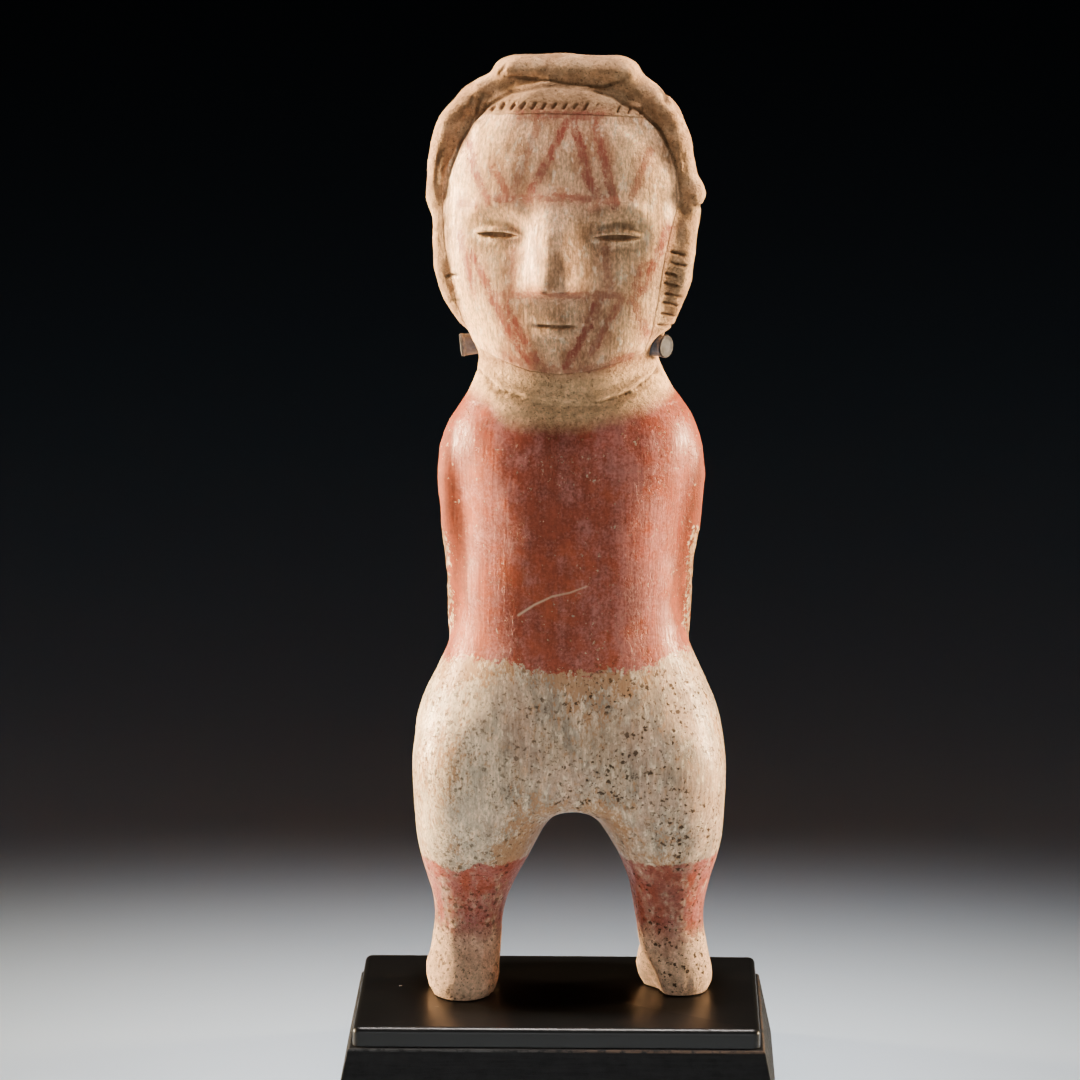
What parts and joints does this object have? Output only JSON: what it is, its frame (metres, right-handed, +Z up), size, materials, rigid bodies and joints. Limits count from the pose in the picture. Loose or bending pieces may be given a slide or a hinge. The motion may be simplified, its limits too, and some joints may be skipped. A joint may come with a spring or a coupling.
{
  "type": "nayarit figure",
  "caption": "Standing slip-painted clay figure with a coil headband, a mask-like face, ear spools and low arms, resting on a black stand.",
  "frame": {"origin": "middle of the stand's underside", "axes": "+Z up, -Y towards the front of the figure, +X to the viewer's right"},
  "size_m": [0.1488, 0.0962, 0.3515],
  "materials": {
    "slipped_clay": "burnished red and cream slip over tan clay, worn",
    "spool_clay": "smooth grey-brown fired clay",
    "polished_black": "polished black",
    "black_wood": "rough black stain, worn at the edges"
  },
  "bodies": {
    "root": {"figure": "slipped_clay", "ear_spool_left": "spool_clay", "ear_spool_right": "spool_clay", "base_plate": "polished_black", "base_block": "black_wood"}
  },
  "joints": []
}
